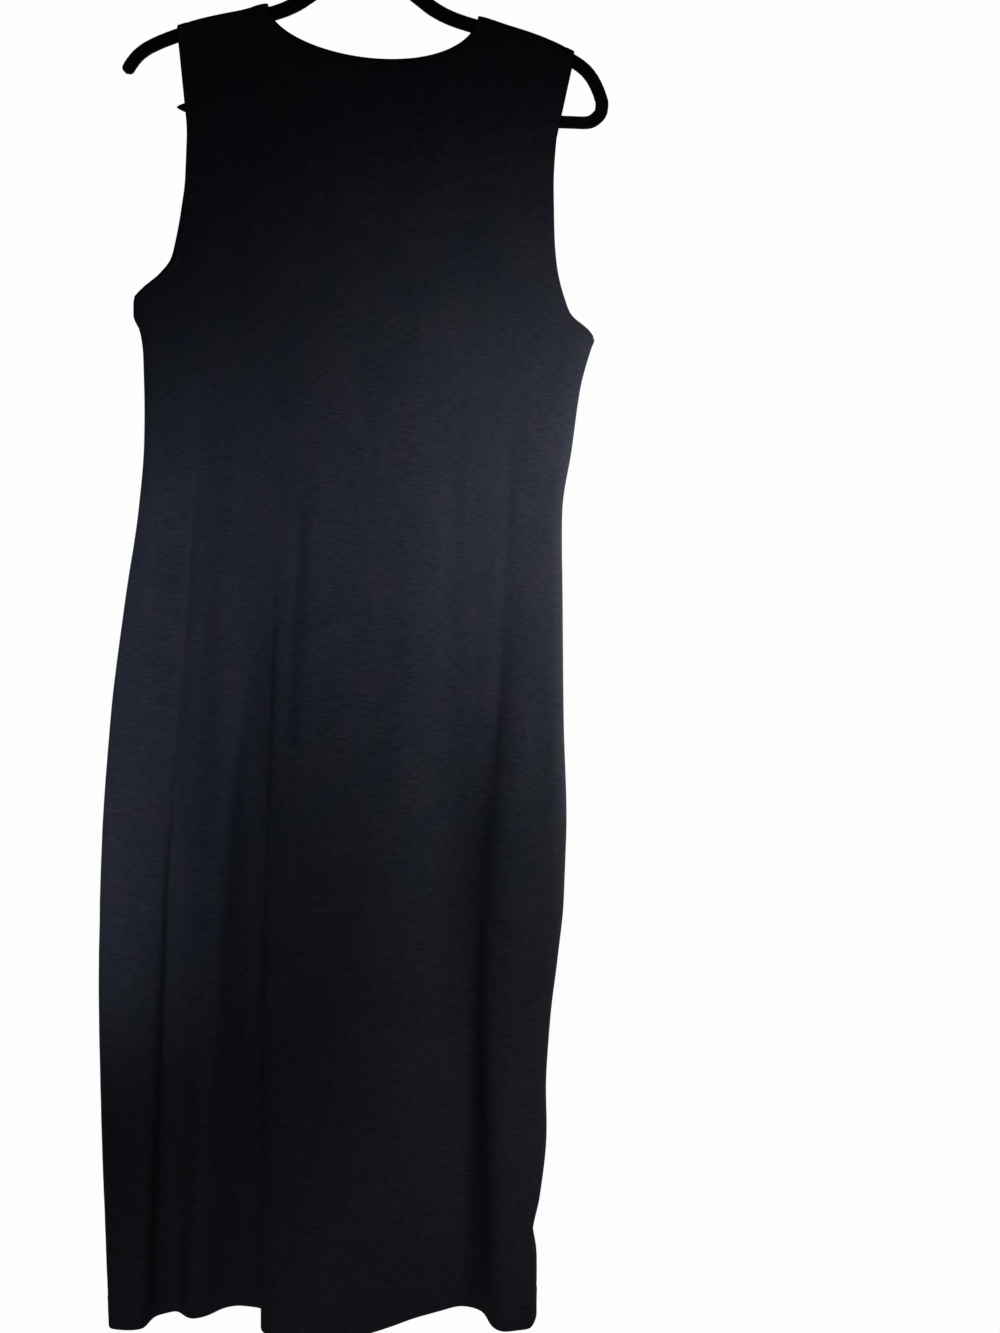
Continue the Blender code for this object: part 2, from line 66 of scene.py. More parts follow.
# Hanger
HANGER_THICK = 0.005
HANGER_CLEAR = 0.0006
ROLL_DEPTH = 0.0048
ROLL_DROP = 0.006
BAR_Z = -0.2231
BAR_TALL = 0.0108
BAR_LEFT_X = -0.166
BAR_RIGHT_X = 0.200
BAR_POINT = 0.012  # length over which the stub of the bar runs out to a point
HANGER_TIP = 0.005  # length over which the left end is rounded
WIRE_RADIUS = 0.0018
HOOK_INNER = 0.020
HOOK_FROM = -48.0  # degrees round the hook's centre, where the shank's bend meets the ring
HOOK_TO = 205.0
SHANK_BEND_Z = -0.060
SHANK_STRAIGHT_Z = -0.068
NECK_TOP_Z = -0.0775

# Top of the dress
SHOULDER_LEFT_X = -0.1666
SHOULDER_RIGHT_X = 0.1893
NECK_LEFT_X = -0.0872
NECK_RIGHT_X = 0.1022
NECK_LOW_X = 0.0195
BACK_NECK_Z = -0.1757
FRONT_NECK_Z = -0.206
NECK_FAN = 0.010  # how far outside the neck edge's ends the columns that meet them lie at the yoke
NECK_LEAN = 0.08  # slope of the columns beside the neck edge's ends
NECK_LEAN_COLUMNS = 3.0
NECK_BUMP = 0.0014  # rise of the shoulders where the neckband crosses them
NECK_BUMP_WIDTH = 0.013
NECK_DROP = 0.012  # height over which the rows gather below the neck edge
CALM_Z = -0.175  # above this height the cloth lies smooth
ROLL_BLEND_Z = -0.215  # from here up the normals turn into those of the roll over the arms

# Outline of the hanging dress: height, x
LEFT_EDGE = (
    (-0.1528, -0.1666),
    (-0.1663, -0.1677),
    (-0.1805, -0.1631),
    (-0.2164, -0.1581),
    (-0.2523, -0.1542),
    (-0.2883, -0.1539),
    (-0.3172, -0.1562),
    (-0.3462, -0.1603),
    (-0.3607, -0.1634),
    (-0.3755, -0.1733),
    (-0.3905, -0.1903),
    (-0.3980, -0.1962),
    (-0.4124, -0.1969),
    (-0.4266, -0.1905),
    (-0.4481, -0.1867),
    (-0.5326, -0.1828),
    (-0.5867, -0.1854),
    (-0.6681, -0.1942),
    (-0.7766, -0.2030),
    (-0.8848, -0.2059),
    (-0.9929, -0.2039),
    (-1.1007, -0.1973),
    (-1.2085, -0.1877),
    (-1.3030, -0.1776),
)
RIGHT_EDGE = (
    (-0.1580, 0.1893),
    (-0.2033, 0.1815),
    (-0.2395, 0.1767),
    (-0.2756, 0.1753),
    (-0.3044, 0.1763),
    (-0.3332, 0.1780),
    (-0.3547, 0.1807),
    (-0.3690, 0.1839),
    (-0.3832, 0.1886),
    (-0.3974, 0.1951),
    (-0.4111, 0.2130),
    (-0.4181, 0.2173),
    (-0.4254, 0.2148),
    (-0.4636, 0.2060),
    (-0.5178, 0.2005),
    (-0.5721, 0.1943),
    (-0.6530, 0.1977),
    (-0.7609, 0.2029),
    (-0.8688, 0.2093),
    (-0.9228, 0.2093),
    (-0.9770, 0.2058),
    (-1.0312, 0.2013),
    (-1.0853, 0.1997),
    (-1.1392, 0.2021),
    (-1.1934, 0.1981),
    (-1.2206, 0.1929),
    (-1.2475, 0.1974),
    (-1.3030, 0.1994),
)

# Levels of the fold tables
WAIST_Z = -0.50
HIP_Z = -0.95
SKIRT_Z = -1.2  # where the columns are spaced evenly
CHEST_Z = UNDERARM_Z + ARMHOLE_RISE

# Side seams: height, y of the left seam, y of the right seam
SEAM_DEPTH = (
    (WAIST_Z, 0.0, 0.0),
    (HIP_Z, -0.003, 0.005),
    (HEM_Z, -0.004, 0.012),
)

# Fold lines: x and y at the hem, at the hip and at the waist, and the columns up to the next line
BACK_FOLDS = (
    (-0.1710, -0.0314, -0.193, -0.0150, -0.172, -0.0078, 1),
    (-0.1560, -0.0330, -0.163, -0.0198, -0.153, -0.0090, 1),
    (-0.1430, -0.0300, -0.1460, -0.0165, -0.1370, -0.0080, 1),
    (-0.1405, -0.0140, -0.1450, -0.0080, -0.1346, -0.0072, 1),
    (-0.1310, -0.0085, -0.134, -0.0070, -0.127, -0.0070, 1),
    (-0.1220, -0.0045, -0.120, -0.0085, -0.120, -0.0078, 1),
    (-0.1085, -0.0146, -0.107, -0.0110, -0.107, -0.0080, 1),
    (-0.0950, -0.0100, -0.096, -0.0085, -0.094, -0.0077, 1),
    (-0.0825, 0.0020, -0.0845, 0.0030, -0.084, -0.0076, 1),
    (-0.0680, 0.0062, -0.073, 0.0085, -0.074, -0.0075, 1),
    (-0.0462, 0.0025, -0.0565, 0.0050, -0.0605, -0.0075, 1),
    (-0.0430, -0.0230, -0.0555, -0.0105, -0.0565, -0.0076, 1),
    (-0.0380, -0.0300, -0.0500, -0.0150, -0.051, -0.0078, 1),
    (-0.0270, -0.0368, -0.037, -0.0183, -0.040, -0.0080, 2),
    (0.0000, -0.0400, -0.005, -0.0200, -0.005, -0.0084, 2),
    (0.0350, -0.0335, 0.030, -0.0175, 0.030, -0.0084, 1),
    (0.0640, -0.0180, 0.058, -0.0110, 0.058, -0.0082, 1),
    (0.0900, -0.0010, 0.084, -0.0030, 0.084, -0.0078, 1),
    (0.1130, 0.0108, 0.108, 0.0030, 0.112, -0.0076, 1),
    (0.1320, 0.0185, 0.124, 0.0030, 0.132, -0.0076, 1),
    (0.1505, 0.0115, 0.1335, 0.0005, 0.147, -0.0074, 1),
    (0.1590, -0.0100, 0.1430, -0.0075, 0.154, -0.0079, 1),
    (0.1700, -0.0165, 0.160, -0.0105, 0.166, -0.0083, 1),
    (0.1900, -0.0120, 0.195, -0.0070, 0.186, -0.0076, 0),
)
FRONT_FOLDS = (
    (-0.1680, 0.0310, -0.194, 0.0160, -0.172, 0.0078, 1),
    (-0.1420, 0.0450, -0.158, 0.0230, -0.146, 0.0082, 1),
    (-0.1130, 0.0510, -0.125, 0.0270, -0.118, 0.0084, 2),
    (-0.0860, 0.0440, -0.097, 0.0240, -0.092, 0.0080, 2),
    (-0.0620, 0.0330, -0.071, 0.0185, -0.068, 0.0076, 1),
    (-0.0380, 0.0300, -0.045, 0.0165, -0.044, 0.0074, 2),
    (-0.0140, 0.0370, -0.020, 0.0200, -0.020, 0.0078, 2),
    (0.0140, 0.0490, 0.008, 0.0265, 0.006, 0.0084, 1),
    (0.0440, 0.0550, 0.038, 0.0290, 0.034, 0.0086, 2),
    (0.0740, 0.0510, 0.068, 0.0255, 0.062, 0.0082, 2),
    (0.0980, 0.0430, 0.094, 0.0210, 0.088, 0.0077, 2),
    (0.1200, 0.0405, 0.118, 0.0195, 0.112, 0.0075, 2),
    (0.1430, 0.0450, 0.142, 0.0210, 0.138, 0.0078, 1),
    (0.1680, 0.0490, 0.168, 0.0220, 0.162, 0.0080, 1),
    (0.1900, 0.0380, 0.194, 0.0165, 0.186, 0.0076, 0),
)
EDGE_STEPS = 3  # table columns that round each side, beyond the first and last fold lines

# Small soft folds: x and z at the top, x and z at the bottom, half width, height (out of the garment)
BACK_CREASES = (
    (-0.136, -0.372, -0.133, -0.455, 0.0070, 0.0006),
    (-0.150, -0.398, -0.112, -0.470, 0.0080, 0.0006),
    (-0.1345, -0.530, -0.1395, -0.980, 0.0028, -0.0022),
    (0.180, -0.415, 0.140, -0.480, 0.0090, 0.0006),
    (0.190, -0.425, 0.172, -0.560, 0.0080, 0.0006),
    (0.146, -0.470, 0.141, -0.900, 0.0040, -0.0005),
    (-0.038, -0.520, -0.044, -0.900, 0.0060, -0.0010),
    (-0.028, -0.500, -0.030, -0.860, 0.0100, 0.0008),
    (0.060, -0.560, 0.064, -0.980, 0.0120, 0.0007),
    (0.095, -0.480, 0.100, -0.860, 0.0080, -0.0007),
    (-0.100, -0.480, -0.104, -0.900, 0.0080, 0.0008),
    (-0.118, -0.500, -0.122, -0.980, 0.0050, -0.0007),
    (-0.172, -0.470, -0.176, -0.900, 0.0050, 0.0009),
    (0.010, -0.930, 0.016, -1.270, 0.0090, 0.0010),
    (0.045, -0.980, 0.052, -1.290, 0.0080, -0.0010),
    (-0.060, -0.190, -0.040, -0.300, 0.0080, 0.0005),
    (0.080, -0.190, 0.066, -0.300, 0.0080, 0.0005),
    (-0.120, -0.165, -0.126, -0.290, 0.0090, 0.0006),
    (0.136, -0.165, 0.144, -0.290, 0.0090, 0.0006),
)
FRONT_CREASES = (
    (-0.150, -0.398, -0.100, -0.460, 0.0060, 0.0010),
    (-0.164, -0.415, -0.138, -0.520, 0.0055, 0.0009),
    (0.176, -0.415, 0.128, -0.470, 0.0060, 0.0010),
    (0.190, -0.425, 0.166, -0.560, 0.0055, 0.0009),
    (-0.070, -0.500, -0.076, -0.900, 0.0080, 0.0008),
    (-0.030, -0.520, -0.034, -0.940, 0.0070, -0.0008),
    (0.040, -0.500, 0.044, -0.900, 0.0100, 0.0009),
    (0.096, -0.520, 0.100, -0.950, 0.0080, -0.0008),
    (0.140, -0.480, 0.146, -0.900, 0.0070, 0.0008),
    (-0.130, -0.480, -0.136, -0.900, 0.0070, 0.0008),
    (-0.050, -0.215, -0.030, -0.320, 0.0080, 0.0006),
    (0.072, -0.215, 0.056, -0.320, 0.0080, 0.0006),
)

# Gentle unevenness: size across, size along, height, offset of the noise
UNEVENNESS = (
    (0.055, 0.30, 0.0011, 0.0),
    (0.024, 0.060, 0.0005, 5.0),
    (0.010, 0.012, 0.00016, 9.0),
)
RIPPLE = (0.5, 0.022, 0.0006, 3.0)  # the same, along the side seams
RIPPLE_WIDTH = 0.010

# Hanger's arm from the neck out: x, z, height across the arm
ARM = (
    (0.000, -0.0870, 0.0190),
    (0.012, -0.0905, 0.0170),
    (0.025, -0.0990, 0.0140),
    (0.050, -0.1176, 0.0135),
    (0.062, -0.1262, 0.0132),
    (0.078, -0.1338, 0.0128),
    (0.100, -0.1402, 0.0125),
    (0.125, -0.1456, 0.0122),
    (0.150, -0.1523, 0.0120),
    (0.172, -0.1603, 0.0118),
    (0.192, -0.1698, 0.0116),
    (0.2010, -0.1765, 0.0115),
    (0.2070, -0.1837, 0.0115),
    (0.2112, -0.1910, 0.0115),
)
LEFT_TIP = (0.2128, -0.1945, 0.0105)
RIGHT_END = (
    (0.2144, -0.1985, 0.0116),
    (0.2164, -0.2055, 0.0117),
    (0.2158, -0.2125, 0.0117),
    (0.2112, -0.2190, 0.0116),
    (0.2060, -0.2222, 0.0112),
)

# Fineness of the meshes
COLUMN_PITCH = 0.0038
NECK_PITCH = 0.0034
ROW_PITCH = 0.0046
YOKE_ROWS = 24
ROLL_ROWS = 10
EDGE_PARTS = 3
FOLD_SOFTENING = 3  # how often each level is smoothed across its folds
BAND_ROWS = 9
BAND_PITCH = 0.0022
HANGER_PITCH = 0.0016
HANGER_SIDES = 28

# Stitches
STITCH_LENGTH = 0.0026
STITCH_GAP = 0.0009
STITCH_THICK = 0.00042
STITCH_SIDES = 6
TWIN_NEEDLE = 0.0048
ARMHOLE_STITCH_IN = 0.0012  # from the groove towards the edge

# Camera, fitted to the photo
CAMERA_PLACE = (0.1441, -0.901, -0.715)
CAMERA_ROLL = -2.2
CAMERA_LENS = 27.03

# Jersey and band: darkest and lightest colour of the slubs, and sheen
JERSEY_LOOK = ((0.0142, 0.0150, 0.0190), (0.0294, 0.0310, 0.0388), 0.025)
BAND_LOOK = ((0.0125, 0.0132, 0.0167), (0.0258, 0.0272, 0.0340), 0.020)
COOL_DYE = (0.80, 0.85, 0.99)
EVEN_DYE = (0.86, 0.92, 0.93)
WARM_DYE = (0.97, 0.90, 0.99)

# Lights: name, place, aim, width and height, power, spread in degrees, colour
COOL = (0.71, 0.79, 1.0)
PALE = (0.97, 0.98, 1.0)
LIGHTS = (
    ("window", (0.15, -0.46, -0.62), (0.11, 0.0, -0.62), (0.38, 0.18), 0.33, 90.0, COOL),
    ("window_right", (0.52, -0.50, -0.45), (0.21, 0.0, -0.50), (0.20, 0.30), 0.27, 46.0, PALE),
    ("window_rim", (0.50, -0.10, -0.66), (0.20, 0.0, -0.66), (0.10, 0.44), 0.30, 60.0, PALE),
    ("window_low", (0.56, -0.42, -1.00), (0.21, 0.0, -1.06), (0.15, 0.36), 0.095, 40.0, PALE),
    ("window_left", (-0.34, -0.64, -0.74), (-0.19, 0.0, -0.76), (0.14, 0.54), 0.16, 26.0, COOL),
    ("window_edge", (-0.38, -0.64, -0.76), (-0.25, 0.0, -0.80), (0.10, 0.50), 0.10, 18.0, PALE),
    ("window_foot", (0.00, -0.55, -1.45), (0.02, 0.0, -1.24), (0.50, 0.20), 0.105, 70.0, PALE),
    ("window_behind", (-0.30, 0.52, -0.585), (0.0, 0.0, -0.60), (0.55, 0.30), 1.9, 130.0, COOL),
    ("window_behind_right", (0.70, 0.42, -0.70), (0.16, 0.0, -0.70), (0.25, 0.45), 0.7, 120.0, PALE),
)
HOOK_LIGHT_PLACES = ((-0.5, -0.5, 0.10), (0.5, -0.4, 0.10), (0.2, 0.6, 0.10))
HOOK_LIGHT_AIM = (0.0, 0.0, -0.02)
HOOK_LIGHT_SIZE = (0.6, 0.6)
HOOK_LIGHT_POWER = 1.5
FLOOR_Z = -1.62
FLOOR_SIZE = 16.0
FLOOR_BOUNCE = 0.12
AMBIENT_BELOW = 0.20  # strength of the light from below
AMBIENT_ABOVE = 0.008
AMBIENT_COLOR = (1.0, 0.95, 0.98)
STUDIO_WHITE = 0.985


def smooth(points, parameters, at):
    """Interpolate rows of points with a monotone cubic, so that steep folds don't overshoot."""
    points = np.asarray(points, dtype=float)
    t = np.asarray(parameters, dtype=float)
    at = np.clip(np.asarray(at, dtype=float), t[0], t[-1])
    step = np.diff(t)[:, None]
    slope = np.diff(points, axis=0) / step
    tangent = np.zeros_like(points)
    tangent[0] = slope[0]
    tangent[-1] = slope[-1]
    same_sign = slope[:-1] * slope[1:] > 0
    mean = 2.0 * slope[:-1] * slope[1:] / np.where(same_sign, slope[:-1] + slope[1:], 1.0)
    tangent[1:-1] = np.where(same_sign, mean, 0.0)
    i = np.clip(np.searchsorted(t, at, side="right") - 1, 0, len(t) - 2)
    h = step[i]
    s = ((at - t[i]) / h[:, 0])[:, None]
    return (
        (1 + 2 * s) * (1 - s) ** 2 * points[i]
        + s * (1 - s) ** 2 * h * tangent[i]
        + s**2 * (3 - 2 * s) * points[i + 1]
        + s**2 * (s - 1) * h * tangent[i + 1]
    )


def table_at(table, height):
    rows = np.array(table)[::-1]
    return smooth(rows[:, 1:], rows[:, 0], [height])[0]


def ease(value):
    value = np.clip(value, 0.0, 1.0)
    return value * value * (3 - 2 * value)


def arm_path():
    """The hanger's centre line over both arms, finely spaced: x, z, height across the arm."""
    half = np.array(ARM)
    line = np.vstack([half[1:][::-1] * (-1, 1, 1), half])
    return resample(line, HANGER_PITCH)


def resample(line, pitch):
    """Points at an even pitch along a smooth curve through the rows of line."""
    run = np.r_[0, np.cumsum(np.linalg.norm(np.diff(line[:, :2], axis=0), axis=1))]
    return smooth(line, run, np.linspace(0, run[-1], int(run[-1] / pitch) + 1))


def sideways(line):
    run = np.gradient(line[:, :2], axis=0)
    run /= np.linalg.norm(run, axis=1)[:, None]
    return np.column_stack([-run[:, 1], run[:, 0]])


ARM_LINE = arm_path()
ARM_TOP = ARM_LINE[:, :2] + sideways(ARM_LINE) * (ARM_LINE[:, 2:] / 2 + HANGER_CLEAR + CLOTH / 2)
ARM_TOP = ARM_TOP[np.argsort(ARM_TOP[:, 0])]


def shoulder_z(x):
    """Height of the cloth's middle surface on top of the arms."""
    x = np.asarray(x, dtype=float)
    height = np.interp(x, ARM_TOP[:, 0], ARM_TOP[:, 1])
    for crossing in (NECK_LEFT_X - BAND_WIDTH / 2, NECK_RIGHT_X + BAND_WIDTH / 2):
        height = height + NECK_BUMP * np.exp(-(((x - crossing) / NECK_BUMP_WIDTH) ** 2))
    return height


def roll(x, z, depth):
    """Depth of cloth at x, z: 0 on top of an arm, its full depth ROLL_DROP below."""
    below = np.clip((shoulder_z(x) - z) / ROLL_DROP, 0.0, 1.0)
    return depth * np.sqrt(1.0 - (1.0 - below) ** 2)


def neck_point(turn, low_z, inset):
    """Points of the neckline, from the left end (turn 0) to the right end (turn 1)."""
    angle = math.pi * (1.0 - np.asarray(turn, dtype=float))
    middle = (NECK_LEFT_X + NECK_RIGHT_X) / 2
    half = (NECK_RIGHT_X - NECK_LEFT_X) / 2 + inset
    left_z = shoulder_z(NECK_LEFT_X - inset)
    right_z = shoulder_z(NECK_RIGHT_X + inset)
    across = np.cos(angle)
    down = np.sin(angle)
    shift = (NECK_LOW_X - middle) * down**2
    top = left_z + (right_z - left_z) * (across + 1) / 2
    return middle + half * across + shift, top + (low_z - inset - top) * down


def level_row(folds, side, height, columns):
    """x and y of a panel's middle surface at a height, at the given columns of its fold table.

    Between waist and hip the height is warped, so that the folds open late.
    """
    left = table_at(LEFT_EDGE, height)[0]
    right = table_at(RIGHT_EDGE, height)[0]
    rows = np.array(folds)
    levels = (HEM_Z, HIP_Z, WAIST_Z, CHEST_Z)
    chest = np.full(len(rows), side * FLAT_DEPTH)
    opened = height
    if HIP_Z < height < WAIST_Z:
        share = (WAIST_Z - height) / (WAIST_Z - HIP_Z)
        opened = WAIST_Z - (WAIST_Z - HIP_Z) * share**3 * (3 - 2 * share)
    chest_x = rows[:, 4].copy()
    chest_x[1:-1] = (chest_x[:-2] + 2 * chest_x[1:-1] + chest_x[2:]) / 4
    x = smooth((rows[:, 0], rows[:, 2], rows[:, 4], chest_x), levels, [opened])[0]
    y = smooth((rows[:, 1], rows[:, 3], rows[:, 5], chest), levels, [opened])[0]
    if height > WAIST_Z:
        low_left = table_at(LEFT_EDGE, WAIST_Z)[0]
        low_right = table_at(RIGHT_EDGE, WAIST_Z)[0]
        x = left + (x - low_left) * (right - left) / (low_right - low_left)
        y = y + (side * ROLL_DEPTH - y) * ease((height - UNDERARM_Z) / (YOKE_Z - UNDERARM_Z))
    seam = table_at(SEAM_DEPTH, min(height, WAIST_Z))
    opening = min(max((height - UNDERARM_Z) / ARMHOLE_RISE, 0.0), 1.0)
    edge_y = seam + side * (SEAM_GAP / 2 + ARMHOLE_OPEN * opening * (2 - opening))
    edge_y = np.where(abs(edge_y - seam) > ROLL_DEPTH, seam + side * ROLL_DEPTH, edge_y)
    counts = np.cumsum([0] + [int(row[-1]) for row in folds[:-1]])
    last = counts[-1] + 2 * EDGE_STEPS
    inner = smooth(np.column_stack([x, y]), counts, columns - EDGE_STEPS)
    bend = np.radians(90.0 * np.minimum(columns, EDGE_STEPS) / EDGE_STEPS)
    far_bend = np.radians(90.0 * np.minimum(last - columns, EDGE_STEPS) / EDGE_STEPS)
    near = columns < EDGE_STEPS
    far = columns > last - EDGE_STEPS
    row_x = np.where(near, left + (x[0] - left) * (1 - np.cos(bend)), inner[:, 0])
    row_x = np.where(far, right + (x[-1] - right) * (1 - np.cos(far_bend)), row_x)
    row_y = np.where(near, edge_y[0] + (y[0] - edge_y[0]) * np.sin(bend), inner[:, 1])
    row_y = np.where(far, edge_y[1] + (y[-1] - edge_y[1]) * np.sin(far_bend), row_y)
    return np.column_stack([row_x, row_y])


def table_columns(folds):
    """How many columns a fold table stands for, with those that round the sides."""
    return sum(int(row[-1]) for row in folds) + 2 * EDGE_STEPS + 1


def fine_columns(folds, side, low_z):
    """The fine mesh's columns, counted in the table's columns.

    They are even low on the skirt, and closer where the neck edge needs it.
    """
    whole = np.arange(table_columns(folds), dtype=float)
    at = level_row(folds, side, SKIRT_Z, whole)
    spans = np.linalg.norm(np.diff(at, axis=0), axis=1)
    first, last = neck_span(folds, side)
    turns = neck_turns(whole, first, last)
    neck = np.column_stack(neck_point(turns, low_z, BAND_WIDTH - NECK_LAP))
    neck_spans = np.linalg.norm(np.diff(neck, axis=0), axis=1)
    fine = []
    for start, span, neck_span_here in zip(whole[:-1], spans, neck_spans):
        in_side = start < EDGE_STEPS or start >= whole[-1] - EDGE_STEPS
        parts = max(EDGE_PARTS if in_side else 2, round(span / COLUMN_PITCH))
        parts = max(parts, math.ceil(neck_span_here / NECK_PITCH))
        fine += [start + k / parts for k in range(parts)]
    return np.array(fine + [whole[-1]])


def yoke_shares(folds, side, columns):
    """How far across the garment the given columns are at the yoke, from 0 to 1."""
    at = level_row(folds, side, YOKE_Z, columns)[:, 0]
    return (at - at[0]) / (at[-1] - at[0])


def neck_span(folds, side):
    """The table's columns that meet the ends of the neck edge."""
    shares = yoke_shares(folds, side, np.arange(table_columns(folds), dtype=float))
    at = SHOULDER_LEFT_X + shares * (SHOULDER_RIGHT_X - SHOULDER_LEFT_X)
    first = int(np.argmin(abs(at - NECK_LEFT_X + BAND_WIDTH + NECK_FAN)))
    last = int(np.argmin(abs(at - NECK_RIGHT_X - BAND_WIDTH - NECK_FAN)))
    return first, last


def neck_turns(columns, first, last):
    """How far along the neck edge the columns meet it, from 0 to 1."""
    return (np.clip(columns, first, last) - first) / (last - first)


def panel_grid(folds, side, low_z, columns):
    """The panel's middle surface as rows of points, from the hem up."""
    rows = []
    level_count = int((YOKE_Z - HEM_Z) / ROW_PITCH)
    for height in np.linspace(HEM_Z, YOKE_Z, level_count + 1):
        level = level_row(folds, side, height, columns)
        rows.append(np.column_stack([level, np.full(len(level), height)]))
    for row in rows:
        for _ in range(FOLD_SOFTENING):
            row[2:-2] = (row[1:-3] + 2 * row[2:-2] + row[3:-1]) / 4
    base = rows[-1]
    inset = BAND_WIDTH - NECK_LAP
    first, last = neck_span(folds, side)
    shares = yoke_shares(folds, side, columns)
    first_share = np.interp(first, columns, shares)
    last_share = np.interp(last, columns, shares)
    neck_left = neck_point(0.0, low_z, inset)[0]
    neck_right = neck_point(1.0, low_z, inset)[0]
    left_x = SHOULDER_LEFT_X + (neck_left - SHOULDER_LEFT_X) * shares / first_share
    right_run = (shares - last_share) / (1 - last_share)
    right_x = neck_right + (SHOULDER_RIGHT_X - neck_right) * right_run
    neck_x, neck_z = neck_point(neck_turns(columns, first, last), low_z, inset)
    in_neck = (columns > first) & (columns < last)
    top_x = np.where(in_neck, neck_x, np.where(columns <= first, left_x, right_x))
    top_z = np.where(in_neck, neck_z, shoulder_z(top_x))
    neckness = ease((columns - first) / 1.5) * ease((last - columns) / 1.5)
    lean = NECK_LEAN * (
        np.exp(-(((columns - last) / NECK_LEAN_COLUMNS) ** 2))
        - np.exp(-(((columns - first) / NECK_LEAN_COLUMNS) ** 2))
    )

    def drop_at(angle):
        rolled = ROLL_DROP * (1 - math.cos(math.radians(angle)))
        return rolled + (NECK_DROP * angle / 90 - rolled) * neckness

    under_drop = drop_at(90.0)
    under_x = top_x + lean * under_drop
    under_z = top_z - under_drop
    lines = []
    for share in np.linspace(0, 1, YOKE_ROWS + 1)[1:-1]:
        lines.append((base[:, 0] + (under_x - base[:, 0]) * share, YOKE_Z + (under_z - YOKE_Z) * share))
    for angle in np.linspace(90, 0, ROLL_ROWS + 1):
        drop = drop_at(angle)
        lines.append((top_x + lean * drop, top_z - drop))
    for x, z in lines:
        rise = (z - YOKE_Z) / (top_z - YOKE_Z)
        start = abs(base[:, 1])
        depth = start + (ROLL_DEPTH - start) * np.minimum(rise * 1.5, 1.0)
        rows.append(np.column_stack([x, side * (SEAM_GAP / 2 + roll(x, z, depth)), z]))
    return np.array(rows)


def grid_normals(grid, side):
    """Unit normals of a grid of points, facing out of the garment."""
    normal = np.cross(np.gradient(grid, axis=1), np.gradient(grid, axis=0))
    normal /= np.linalg.norm(normal, axis=2)[:, :, None]
    return normal if side < 0 else -normal


def shoulder_normals(grid, side):
    """Unit normals of the cloth where it lies flat or rolls over the arms, from the roll's ellipse."""
    x = grid[:, :, 0]
    slope = (shoulder_z(x + 0.0005) - shoulder_z(x - 0.0005)) / 0.001
    rest = np.clip(1.0 - (shoulder_z(x) - grid[:, :, 2]) / ROLL_DROP, 0.0, 1.0)
    up = rest / ROLL_DROP
    out = side * np.sqrt(1.0 - rest**2) / ROLL_DEPTH
    normal = np.stack([-up * slope, out, up], axis=2)
    return normal / np.linalg.norm(normal, axis=2)[:, :, None]


def crease_relief(grid, creases):
    """Height of the small soft folds at each point of a grid."""
    x = grid[:, :, 0]
    z = grid[:, :, 2]
    height = np.zeros_like(x)
    for top_x, top_z, low_x, low_z, width, rise in creases:
        run = np.array((low_x - top_x, low_z - top_z))
        length = np.linalg.norm(run)
        run = run / length
        along = ((x - top_x) * run[0] + (z - top_z) * run[1]) / length
        across = (x - top_x) * run[1] - (z - top_z) * run[0]
        fade = ease(along / 0.3) * ease((1 - along) / 0.35)
        height += rise * np.exp(-((across / width) ** 2)) * fade
    return height


def uneven(grid, size_x, size_z, height, seed):
    """Gentle unevenness of the cloth, longer one way than the other."""
    shape = grid.shape[:2]
    made = np.empty(shape)
    for r in range(shape[0]):
        for c in range(shape[1]):
            x, y, z = grid[r, c]
            made[r, c] = noise.noise(Vector((x / size_x + seed, seed * 0.37, z / size_z)))
    return made * height


def shell(name, outer, inner, edge, closed=False):
    """A closed wall between two grids of points, with rounded rims along its first and last rows.

    edge is the grid of the middle surface, from which the rims' direction is taken.
    """
    rows, columns = outer.shape[:2]
    ends = []
    for row, other in ((0, 1), (rows - 1, rows - 2)):
        away = edge[row] - edge[other]
        away /= np.linalg.norm(away, axis=1)[:, None]
        middle = (outer[row] + inner[row]) / 2
        half = (outer[row] - inner[row]) / 2
        reach = np.linalg.norm(half, axis=1)[:, None] * away
        outer[row] -= reach
        inner[row] -= reach
        middle -= reach
        angles = np.radians((45.0, 90.0, 135.0))
        ends.append([middle + half * math.cos(a) + reach * math.sin(a) for a in angles])
    loop = [outer[r] for r in range(rows)] + ends[1]
    loop += [inner[r] for r in reversed(range(rows))] + ends[0][::-1]
    mesh = bpy.data.meshes.new(name)
    bm = bmesh.new()
    verts = [[bm.verts.new(p) for p in line] for line in loop]
    spans = columns if closed else columns - 1
    for r, line in enumerate(verts):
        after = verts[(r + 1) % len(verts)]
        for c in range(spans):
            d = (c + 1) % columns
            bm.faces.new((line[c], line[d], after[d], after[c]))
    if not closed:
        count = len(verts)
        for c in (0, columns - 1):
            for r in range(rows - 1):
                far = rows + 3 + rows - 1 - r
                bm.faces.new((verts[r][c], verts[r + 1][c], verts[far - 1][c], verts[far][c]))
            bm.faces.new([verts[r][c] for r in range(rows - 1, rows + 4)])
            bm.faces.new([verts[r % count][c] for r in range(2 * rows + 2, count + 1)])
    bmesh.ops.recalc_face_normals(bm, faces=bm.faces)
    bm.to_mesh(mesh)
    bm.free()
    mesh.shade_smooth()
    mesh.set_sharp_from_angle(angle=math.radians(60))
    return mesh


def add_piece(name, mesh, surface):
    obj = bpy.data.objects.new(name, mesh)
    bpy.context.scene.collection.objects.link(obj)
    obj.data.materials.append(surface)
    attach(obj, "root")
    return obj


def edge_distance(grid):
    """How far each point is from the nearer side edge of its row, along the row."""
    steps = np.linalg.norm(np.diff(grid, axis=1), axis=2)
    run = np.concatenate([np.zeros((len(grid), 1)), np.cumsum(steps, axis=1)], axis=1)
    return run, run[:, -1:] - run


